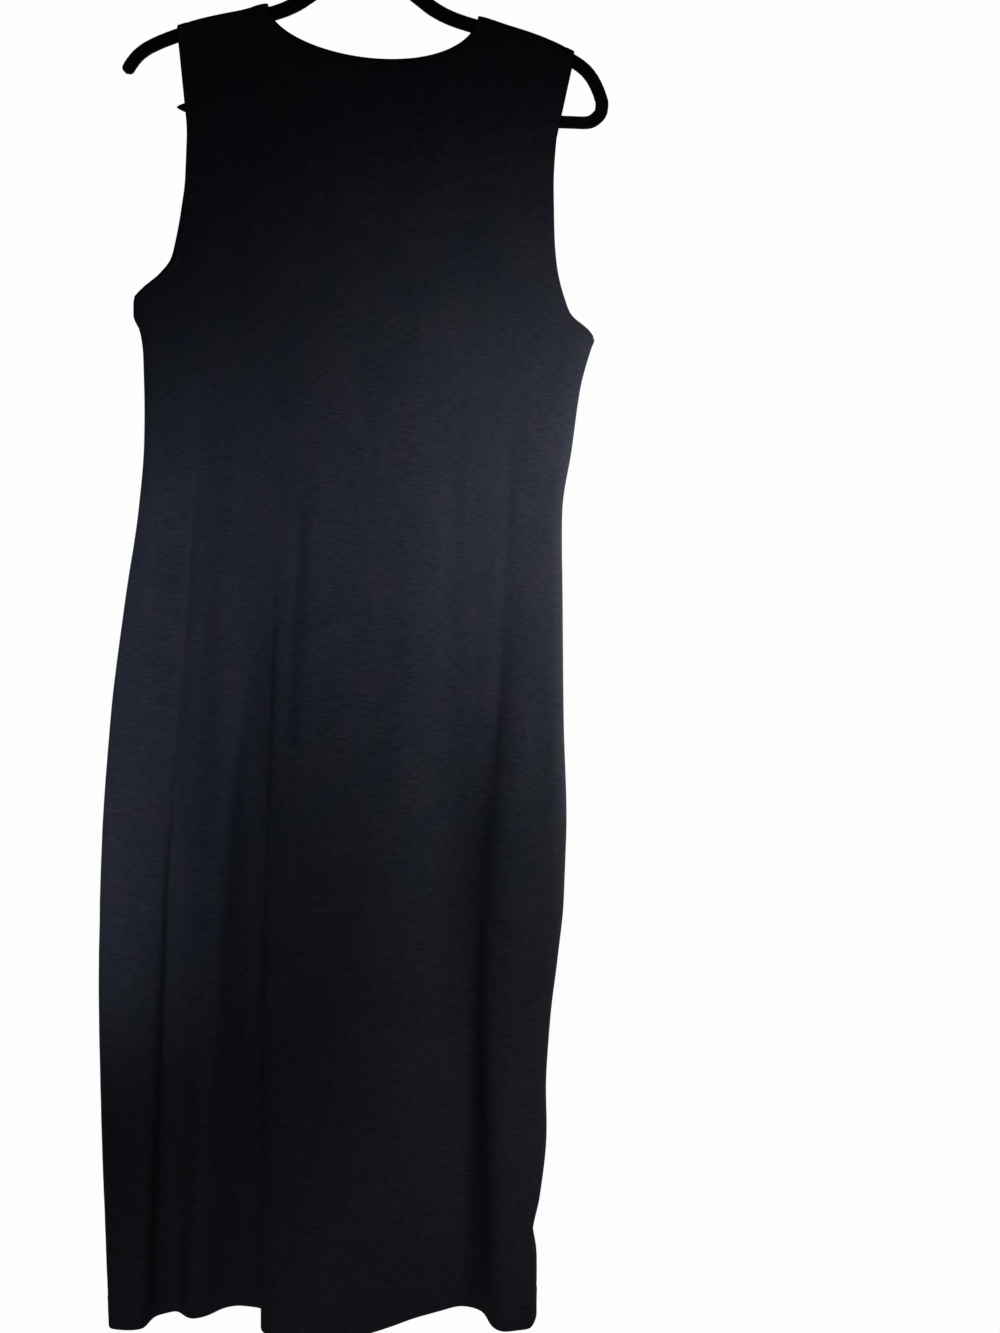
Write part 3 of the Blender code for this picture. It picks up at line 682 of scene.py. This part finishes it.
def panel_surfaces(folds, side, low_z, creases, seed):
    """The panel's middle grid, its normals, and its outer and inner skins."""
    columns = fine_columns(folds, side, low_z)
    grid = panel_grid(folds, side, low_z, columns)
    normal = grid_normals(grid, side)
    height = grid[:, :, 2]
    from_left, from_right = edge_distance(grid)
    near_edge = np.minimum(from_left, from_right)
    calm = ease(near_edge / 0.02) * ease((CALM_Z - height) / 0.05)
    relief = crease_relief(grid, creases)
    for across, along, rise, offset in UNEVENNESS:
        relief += uneven(grid, across, along, rise, seed + offset)
    grid = grid + normal * (relief * calm)[:, :, None]
    across, along, rise, offset = RIPPLE
    ripple = uneven(grid, across, along, rise, seed + offset)
    ripple *= np.exp(-((near_edge / RIPPLE_WIDTH) ** 2))
    below_arm = ease((UNDERARM_Z - 0.01 - height) / 0.03)
    grid[:, :, 1] += side * ripple * below_arm * ease(near_edge / 0.004)
    normal = grid_normals(grid, side)
    flat = ease((height - ROLL_BLEND_Z) / 0.035)[:, :, None]
    normal = normal * (1 - flat) + shoulder_normals(grid, side) * flat
    seam = height[:, 0] < UNDERARM_Z
    normal[seam, 0, 1] = 0.0
    normal[seam, -1, 1] = 0.0
    on_shoulder = abs(grid[-1, :, 1]) < SEAM_GAP
    normal[-1, on_shoulder, 1] = 0.0
    normal /= np.linalg.norm(normal, axis=2)[:, :, None]
    above_hem = height - HEM_Z
    hem_groove = np.exp(-(((above_hem - HEM_TURN) / HEM_GROOVE_WIDTH) ** 2))
    hem_band = ease((HEM_TURN - above_hem) / 0.003 + 0.5)
    in_armhole = ease((height - UNDERARM_Z) / 0.01)
    arm_groove = np.exp(-(((near_edge - ARMHOLE_TURN) / ARMHOLE_GROOVE_WIDTH) ** 2)) * in_armhole
    arm_band = ease((ARMHOLE_TURN - near_edge) / 0.002 + 0.5) * in_armhole
    out = CLOTH / 2 + TURN_LIFT * hem_band + TURN_LIFT * arm_band
    out = out - STITCH_GROOVE * np.maximum(hem_groove, arm_groove)
    back = CLOTH / 2 + TURN_BACK * np.maximum(hem_band, arm_band)
    outer = grid + normal * out[:, :, None]
    inner = grid - normal * back[:, :, None]
    return grid, normal, outer, inner, near_edge


def stitch_run(bm, points, normals):
    """Short raised stitches along a line of points on the cloth."""
    run = np.r_[0, np.cumsum(np.linalg.norm(np.diff(points, axis=0), axis=1))]
    start = 0.0
    radius = STITCH_THICK / 2
    while start + STITCH_LENGTH < run[-1]:
        at = np.linspace(start, start + STITCH_LENGTH, 4)
        place = np.column_stack([np.interp(at, run, points[:, k]) for k in range(3)])
        facing = np.column_stack([np.interp(at, run, normals[:, k]) for k in range(3)])
        facing /= np.linalg.norm(facing, axis=1)[:, None]
        along = place[-1] - place[0]
        along /= np.linalg.norm(along)
        sink = (-0.5, 0.5, 0.5, -0.5)
        size = (0.5, 1.0, 1.0, 0.5)
        rings = []
        for p, n, s, wide in zip(place, facing, sink, size):
            across = np.cross(along, n)
            middle = p + n * radius * s
            ring = []
            for k in range(STITCH_SIDES):
                a = 2 * math.pi * k / STITCH_SIDES
                offset = (across * math.cos(a) + n * math.sin(a)) * radius * wide
                ring.append(bm.verts.new(middle + offset))
            rings.append(ring)
        for a, b in zip(rings, rings[1:]):
            for k in range(STITCH_SIDES):
                j = (k + 1) % STITCH_SIDES
                bm.faces.new((a[k], a[j], b[j], b[k]))
        bm.faces.new(rings[0])
        bm.faces.new(rings[-1][::-1])
        start += STITCH_LENGTH + STITCH_GAP


def contour(outer, normal, field, value, along_rows):
    """The line on a grid where field equals value, one point a row or one a column."""
    points = []
    normals = []
    count = outer.shape[0] if along_rows else outer.shape[1]
    for i in range(count):
        values = field[i] if along_rows else field[:, i]
        line = outer[i] if along_rows else outer[:, i]
        facing = normal[i] if along_rows else normal[:, i]
        over = np.nonzero((values[:-1] < value) & (values[1:] >= value))[0]
        if not len(over):
            continue
        k = over[0]
        share = (value - values[k]) / (values[k + 1] - values[k])
        points.append(line[k] + (line[k + 1] - line[k]) * share)
        normals.append(facing[k] + (facing[k + 1] - facing[k]) * share)
    return np.array(points), np.array(normals)


def panel_stitches(name, outer, normal, near_edge, surface):
    """The stitched lines of a panel: twin rows on the hem and one on each armhole."""
    bm = bmesh.new()
    height = outer[:, :, 2]
    for level in (HEM_Z + HEM_TURN, HEM_Z + HEM_TURN - TWIN_NEEDLE):
        stitch_run(bm, *contour(outer, normal, height, level, False))
    from_left, from_right = edge_distance(outer)
    rows = (height[:, 0] > UNDERARM_Z + 0.004) & (height[:, 0] < -0.170)
    for run in (from_left, from_right):
        line = outer[rows] if run is from_left else outer[rows][:, ::-1]
        facing = normal[rows] if run is from_left else normal[rows][:, ::-1]
        field = run[rows] if run is from_left else run[rows][:, ::-1]
        stitch_run(bm, *contour(line, facing, field, ARMHOLE_TURN - ARMHOLE_STITCH_IN, True))
    mesh = bpy.data.meshes.new(name)
    bmesh.ops.recalc_face_normals(bm, faces=bm.faces)
    bm.to_mesh(mesh)
    bm.free()
    mesh.shade_smooth()
    return add_piece(name, mesh, surface)


def band_surfaces():
    """The neckband's middle grid and normals, a ring round the back and then the front."""
    lift = (BAND_WALL - CLOTH) / 2
    sides = []
    for folds, side, low_z in ((BACK_FOLDS, -1, BACK_NECK_Z), (FRONT_FOLDS, 1, FRONT_NECK_Z)):
        turns = np.linspace(0, 1, 1601)
        x, z = neck_point(turns, low_z, BAND_WIDTH / 2)
        run = np.r_[0, np.cumsum(np.hypot(np.diff(x), np.diff(z)))]
        turns = np.interp(np.linspace(0, run[-1], int(run[-1] / BAND_PITCH) + 1), run, turns)
        strip = []
        for share in np.linspace(0, 1, BAND_ROWS):
            x, z = neck_point(turns, low_z, BAND_WIDTH * share)
            strip.append(np.column_stack([x, side * roll(x, z, ROLL_DEPTH + lift), z + lift]))
        sides.append(np.array(strip))
    ring = np.concatenate([sides[0], sides[1][:, -2:0:-1]], axis=1)
    wrapped = np.concatenate([ring[:, -1:], ring, ring[:, :1]], axis=1)
    normal = np.cross(np.gradient(wrapped, axis=0), np.gradient(wrapped, axis=1))[:, 1:-1]
    normal /= np.linalg.norm(normal, axis=2)[:, :, None]
    return ring, normal


def make_neckband(surface):
    ring, normal = band_surfaces()
    share = np.linspace(0, 1, BAND_ROWS)[:, None]
    puff = BAND_WALL / 2 * (0.72 + 0.28 * np.sin(math.pi * np.clip(share, 0.05, 0.95)))
    puff = puff + uneven(ring, 0.006, 0.006, 0.00012, 2.0)
    outer = ring + normal * puff[:, :, None]
    inner = ring - normal * (BAND_WALL / 2 * 0.9)
    mesh = shell("neckband_jersey", outer, inner, ring, closed=True)
    return add_piece("neckband_jersey", mesh, surface)


def hanger_line():
    half = [tuple(row) for row in ARM]
    left = [(-x, z, tall) for x, z, tall in [LEFT_TIP] + half[:0:-1]]
    path = np.array(left + half + list(RIGHT_END) + [
        (BAR_RIGHT_X + (BAR_LEFT_X - BAR_RIGHT_X) * k / 12, BAR_Z, BAR_TALL) for k in range(13)
    ])
    return resample(path, HANGER_PITCH)


def make_hanger(surface):
    """The flocked frame: one rounded section along its path, round at the tip, pointed at the stub."""
    line = hanger_line()
    side = sideways(line)
    run = np.r_[0, np.cumsum(np.linalg.norm(np.diff(line[:, :2], axis=0), axis=1))]
    left = run[-1] - run
    tip = np.sqrt(1 - (1 - np.clip(run / HANGER_TIP, 0, 1)) ** 2)
    point = np.clip(left / BAR_POINT, 0, 1) ** 0.7
    bm = bmesh.new()
    rings = []
    for (x, z, tall), (side_x, side_z), scale in zip(line, side, np.maximum(tip * point, 0.04)):
        ring = []
        for k in range(HANGER_SIDES):
            angle = 2 * math.pi * (k + 0.5) / HANGER_SIDES
            across = math.copysign(abs(math.sin(angle)) ** 0.75, math.sin(angle)) * tall / 2 * scale
            out = math.copysign(abs(math.cos(angle)) ** 0.75, math.cos(angle)) * HANGER_THICK / 2
            out *= scale**0.5
            fuzz = 1 + 0.02 * noise.noise(Vector((x * 700, out * 900, z * 700 + across * 500)))
            place = (x + side_x * across * fuzz, out * fuzz, z + side_z * across * fuzz)
            ring.append(bm.verts.new(place))
        rings.append(ring)
    for a, b in zip(rings, rings[1:]):
        for k in range(HANGER_SIDES):
            j = (k + 1) % HANGER_SIDES
            bm.faces.new((a[k], a[j], b[j], b[k]))
    bm.faces.new(rings[0])
    bm.faces.new(rings[-1])
    bmesh.ops.recalc_face_normals(bm, faces=bm.faces)
    mesh = bpy.data.meshes.new("hanger_flocked")
    bm.to_mesh(mesh)
    bm.free()
    mesh.shade_smooth()
    return add_piece("hanger_flocked", mesh, surface)


def make_hook(surface):
    """The bright wire hook with a rounded end."""
    reach = HOOK_INNER + WIRE_RADIUS
    centre = Vector((0.0, 0.0, -HOOK_INNER))
    bend = Vector((0.0, 0.0, SHANK_BEND_Z))
    first_angle = math.radians(HOOK_FROM)
    last_angle = math.radians(HOOK_TO)
    joint = centre + Vector((math.cos(first_angle), 0, math.sin(first_angle))) * reach
    leaving = Vector((-math.sin(first_angle), 0, math.cos(first_angle)))
    pull = (joint - bend).length * 0.42
    points = [Vector((0.0, 0.0, NECK_TOP_Z + SEAM_GAP)), Vector((0.0, 0.0, SHANK_STRAIGHT_Z))]
    for i in range(16):
        s = i / 16
        a, b, c, d = bend, bend + Vector((0, 0, pull)), joint - leaving * pull, joint
        points.append((1 - s) ** 3 * a + 3 * s * (1 - s) ** 2 * b + 3 * s**2 * (1 - s) * c + s**3 * d)
    for i in range(65):
        angle = first_angle + (last_angle - first_angle) * i / 64
        points.append(centre + Vector((math.cos(angle), 0, math.sin(angle))) * reach)
    curve = bpy.data.curves.new("hook_wire", "CURVE")
    curve.dimensions = "3D"
    curve.bevel_depth = WIRE_RADIUS
    curve.bevel_resolution = 5
    curve.use_fill_caps = True
    spline = curve.splines.new("POLY")
    spline.points.add(len(points) - 1)
    for k, (control, point) in enumerate(zip(spline.points, points)):
        control.co = (*point, 1.0)
        control.radius = (0.55, 0.85, 0.97)[len(points) - 1 - k] if len(points) - k <= 3 else 1.0
    obj = bpy.data.objects.new("hook_wire", curve)
    bpy.context.scene.collection.objects.link(obj)
    curve.materials.append(surface)
    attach(obj, "root")
    return obj


class Nodes:
    """Short helpers for building a node tree."""

    def __init__(self, name):
        self.material = bpy.data.materials.new(name)
        self.material.use_nodes = True
        self.tree = self.material.node_tree
        self.shader = self.tree.nodes["Principled BSDF"]
        coordinates = self.tree.nodes.new("ShaderNodeTexCoord")
        self.place = coordinates.outputs["Object"]

    def noise(self, scale, detail=3.0, roughness=0.55):
        """Noise over the object, with its own scale along each axis."""
        mapping = self.tree.nodes.new("ShaderNodeMapping")
        mapping.inputs["Scale"].default_value = scale
        self.tree.links.new(self.place, mapping.inputs["Vector"])
        made = self.tree.nodes.new("ShaderNodeTexNoise")
        made.inputs["Scale"].default_value = 1.0
        made.inputs["Detail"].default_value = detail
        made.inputs["Roughness"].default_value = roughness
        self.tree.links.new(mapping.outputs["Vector"], made.inputs["Vector"])
        return made.outputs["Fac"]

    def wave(self, direction, scale):
        made = self.tree.nodes.new("ShaderNodeTexWave")
        made.wave_type = "BANDS"
        made.bands_direction = direction
        made.inputs["Scale"].default_value = scale
        made.inputs["Distortion"].default_value = 0.8
        made.inputs["Detail"].default_value = 1.0
        made.inputs["Detail Scale"].default_value = 60.0
        self.tree.links.new(self.place, made.inputs["Vector"])
        return made.outputs["Fac"]

    def multiply(self, first, second):
        made = self.tree.nodes.new("ShaderNodeMath")
        made.operation = "MULTIPLY"
        self.tree.links.new(first, made.inputs[0])
        self.tree.links.new(second, made.inputs[1])
        return made.outputs[0]

    def ramp(self, value, stops):
        made = self.tree.nodes.new("ShaderNodeValToRGB")
        elements = made.color_ramp.elements
        for k, (position, color) in enumerate(stops):
            element = elements[k] if k < 2 else elements.new(position)
            element.position = position
            element.color = (*color, 1.0)
        self.tree.links.new(value, made.inputs["Fac"])
        return made.outputs["Color"]

    def tint(self, color, by):
        made = self.tree.nodes.new("ShaderNodeMix")
        made.data_type = "RGBA"
        made.blend_type = "MULTIPLY"
        made.inputs["Factor"].default_value = 1.0
        self.tree.links.new(color, made.inputs["A"])
        self.tree.links.new(by, made.inputs["B"])
        return made.outputs["Result"]

    def spread(self, value, low, high):
        made = self.tree.nodes.new("ShaderNodeMapRange")
        made.inputs["From Min"].default_value = 0.3
        made.inputs["From Max"].default_value = 0.7
        made.inputs["To Min"].default_value = low
        made.inputs["To Max"].default_value = high
        self.tree.links.new(value, made.inputs["Value"])
        return made.outputs["Result"]

    def bump(self, height, distance, strength, under=None):
        made = self.tree.nodes.new("ShaderNodeBump")
        made.inputs["Strength"].default_value = strength
        made.inputs["Distance"].default_value = distance
        self.tree.links.new(height, made.inputs["Height"])
        if under is not None:
            self.tree.links.new(under, made.inputs["Normal"])
        return made.outputs["Normal"]

    def set(self, name, value):
        socket = self.shader.inputs[name]
        if hasattr(value, "is_linked"):
            self.tree.links.new(value, socket)
        else:
            socket.default_value = value


def jersey_material(name, dark, light, sheen):
    """Fine matte jersey: faint slubs across, tiny knit columns, uneven dye and a soft sheen."""
    nodes = Nodes(name)
    slub = nodes.noise((130.0, 130.0, 560.0), detail=4.0, roughness=0.65)
    fibre = nodes.noise((1500.0, 1500.0, 1500.0), detail=2.0)
    patches = nodes.noise((24.0, 24.0, 18.0), detail=4.0, roughness=0.65)
    tints = nodes.ramp(patches, ((0.40, COOL_DYE), (0.50, EVEN_DYE), (0.60, WARM_DYE)))
    wales = nodes.wave("X", 260.0)
    courses = nodes.wave("Z", 300.0)
    knit = nodes.multiply(wales, courses)
    shade = nodes.ramp(slub, ((0.30, dark), (0.70, light)))
    nodes.set("Base Color", nodes.tint(shade, tints))
    nodes.set("Roughness", nodes.spread(fibre, 0.62, 0.80))
    normal = nodes.bump(slub, 0.00045, 0.7)
    normal = nodes.bump(fibre, 0.00020, 0.45, under=normal)
    normal = nodes.bump(knit, 0.00018, 0.35, under=normal)
    nodes.set("Normal", normal)
    nodes.set("Specular IOR Level", 0.08)
    nodes.set("Sheen Weight", sheen)
    nodes.set("Sheen Roughness", 0.42)
    nodes.set("Sheen Tint", (0.80, 0.86, 1.0, 1.0))
    return nodes.material


def thread_material():
    nodes = Nodes("black_thread")
    twist = nodes.noise((1800.0, 1800.0, 1800.0), detail=1.0)
    shade = nodes.ramp(twist, ((0.3, (0.010, 0.010, 0.012)), (0.7, (0.022, 0.022, 0.026))))
    nodes.set("Base Color", shade)
    nodes.set("Roughness", nodes.spread(twist, 0.35, 0.55))
    nodes.set("Normal", nodes.bump(twist, 0.0001, 0.5))
    nodes.set("Specular IOR Level", 0.5)
    return nodes.material


def flock_material():
    """Black flocking: very dark, with short fuzz that lightens a little towards grazing light."""
    nodes = Nodes("black_flocking")
    fuzz = nodes.noise((2300.0, 2300.0, 2300.0), detail=2.0)
    worn = nodes.noise((90.0, 90.0, 90.0), detail=3.0)
    shade = nodes.ramp(worn, ((0.35, (0.0035, 0.0035, 0.004)), (0.75, (0.0075, 0.0073, 0.008))))
    nodes.set("Base Color", shade)
    nodes.set("Roughness", nodes.spread(fuzz, 0.85, 1.0))
    nodes.set("Normal", nodes.bump(fuzz, 0.00035, 0.8))
    nodes.set("Specular IOR Level", 0.12)
    nodes.set("Sheen Weight", 0.12)
    nodes.set("Sheen Roughness", 0.5)
    nodes.set("Sheen Tint", (0.9, 0.93, 1.0, 1.0))
    return nodes.material


def steel_material():
    nodes = Nodes("plated_wire")
    drawn = nodes.noise((500.0, 500.0, 60.0), detail=3.0)
    nodes.set("Base Color", nodes.ramp(drawn, ((0.3, (0.56, 0.56, 0.57)), (0.7, (0.68, 0.68, 0.69)))))
    nodes.set("Metallic", 1.0)
    nodes.set("Roughness", nodes.spread(drawn, 0.16, 0.28))
    nodes.set("Normal", nodes.bump(drawn, 0.00005, 0.3))
    return nodes.material


def floor_material():
    """A pale floor that the camera sees as evenly bright as the studio behind it."""
    nodes = Nodes("pale_floor")
    grain = nodes.noise((30.0, 30.0, 30.0), detail=4.0)
    nodes.set("Base Color", nodes.ramp(grain, ((0.3, (0.50, 0.50, 0.50)), (0.7, (0.54, 0.54, 0.54)))))
    nodes.set("Roughness", nodes.spread(grain, 0.75, 0.85))
    nodes.set("Emission Color", (1.0, 1.0, 1.0, 1.0))
    nodes.set("Emission Strength", FLOOR_BOUNCE)
    bright = nodes.tree.nodes.new("ShaderNodeEmission")
    pale = nodes.ramp(grain, ((0.3, (0.975, 0.975, 0.975)), (0.7, (0.985, 0.985, 0.985))))
    nodes.tree.links.new(pale, bright.inputs["Color"])
    ray = nodes.tree.nodes.new("ShaderNodeLightPath")
    mix = nodes.tree.nodes.new("ShaderNodeMixShader")
    nodes.tree.links.new(ray.outputs["Is Camera Ray"], mix.inputs["Fac"])
    nodes.tree.links.new(nodes.shader.outputs["BSDF"], mix.inputs[1])
    nodes.tree.links.new(bright.outputs["Emission"], mix.inputs[2])
    nodes.tree.links.new(mix.outputs["Shader"], nodes.tree.nodes["Material Output"].inputs["Surface"])
    return nodes.material


def make_dress():
    jersey = jersey_material("black_jersey", *JERSEY_LOOK)
    band = jersey_material("black_jersey_band", *BAND_LOOK)
    thread = thread_material()
    sides = (
        ("back", "back_panel", BACK_FOLDS, -1, BACK_NECK_Z, BACK_CREASES, 1.3),
        ("front", "front_panel", FRONT_FOLDS, 1, FRONT_NECK_Z, FRONT_CREASES, 7.9),
    )
    for name, node, folds, side, low_z, creases, seed in sides:
        grid, normal, outer, inner, near_edge = panel_surfaces(folds, side, low_z, creases, seed)
        panel = add_piece(name + "_jersey", shell(name + "_jersey", outer, inner, grid), jersey)
        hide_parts(node)
        stitches = panel_stitches(name + "_stitches", outer, normal, near_edge, thread)
    neckband = make_neckband(band)
    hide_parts("neckband")


def make_hanger_pieces():
    hanger = make_hanger(flock_material())
    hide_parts("hanger_frame")
    hook = make_hook(steel_material())
    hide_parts("hanger_hook")


def make_stage():
    bpy.ops.mesh.primitive_plane_add(size=FLOOR_SIZE, location=(0.0, 2.0, FLOOR_Z))
    floor = bpy.context.object
    floor.name = "floor"
    floor.data.materials.append(floor_material())


def area_light(name, place, aim, size, power, spread, color, only=None):
    """A soft window-like light. With only, it lights nothing but that piece."""
    light = bpy.data.lights.new(name, "AREA")
    light.shape = "RECTANGLE"
    light.size, light.size_y = size
    light.energy = power
    light.color = color
    light.spread = math.radians(spread)
    obj = bpy.data.objects.new(name, light)
    obj.location = place
    obj.rotation_euler = (Vector(aim) - Vector(place)).to_track_quat("-Z", "Y").to_euler()
    obj.visible_camera = False
    bpy.context.scene.collection.objects.link(obj)
    if only:
        receivers = bpy.data.collections.new(name + "_receivers")
        receivers.objects.link(only)
        obj.light_linking.receiver_collection = receivers


def make_lights():
    for row in LIGHTS:
        area_light(*row)
    hook = bpy.data.objects["hook_wire"]
    for place in HOOK_LIGHT_PLACES:
        area_light(
            "hook_light",
            place,
            HOOK_LIGHT_AIM,
            HOOK_LIGHT_SIZE,
            HOOK_LIGHT_POWER,
            180.0,
            PALE,
            only=hook,
        )
    make_world()


def make_world():
    """A dim studio, lighter from below, that the camera sees as evenly white."""
    world = bpy.data.worlds.new("studio")
    world.use_nodes = True
    tree = world.node_tree
    ambient = tree.nodes["Background"]
    direction = tree.nodes.new("ShaderNodeTexCoord")
    split = tree.nodes.new("ShaderNodeSeparateXYZ")
    level = tree.nodes.new("ShaderNodeMapRange")
    level.inputs["From Min"].default_value = -0.9
    level.inputs["From Max"].default_value = 0.4
    level.inputs["To Min"].default_value = AMBIENT_BELOW
    level.inputs["To Max"].default_value = AMBIENT_ABOVE
    tree.links.new(direction.outputs["Generated"], split.inputs["Vector"])
    tree.links.new(split.outputs["Z"], level.inputs["Value"])
    tree.links.new(level.outputs["Result"], ambient.inputs["Strength"])
    ambient.inputs["Color"].default_value = (*AMBIENT_COLOR, 1.0)
    seen = tree.nodes.new("ShaderNodeBackground")
    seen.inputs["Color"].default_value = (STUDIO_WHITE, STUDIO_WHITE, STUDIO_WHITE, 1.0)
    ray = tree.nodes.new("ShaderNodeLightPath")
    mix = tree.nodes.new("ShaderNodeMixShader")
    tree.links.new(ray.outputs["Is Camera Ray"], mix.inputs["Fac"])
    tree.links.new(ambient.outputs["Background"], mix.inputs[1])
    tree.links.new(seen.outputs["Background"], mix.inputs[2])
    tree.links.new(mix.outputs["Shader"], tree.nodes["World Output"].inputs["Surface"])
    bpy.context.scene.world = world
    bpy.context.scene.view_settings.view_transform = "Standard"


def make_camera():
    data = bpy.data.cameras.new("camera")
    data.lens = CAMERA_LENS
    data.sensor_width = 36.0
    camera = bpy.data.objects.new("camera", data)
    camera.location = CAMERA_PLACE
    camera.rotation_euler = (math.radians(90), math.radians(CAMERA_ROLL), 0.0)
    bpy.context.scene.collection.objects.link(camera)
    bpy.context.scene.camera = camera


make_camera()
make_hanger_pieces()
make_dress()
make_stage()
make_lights()
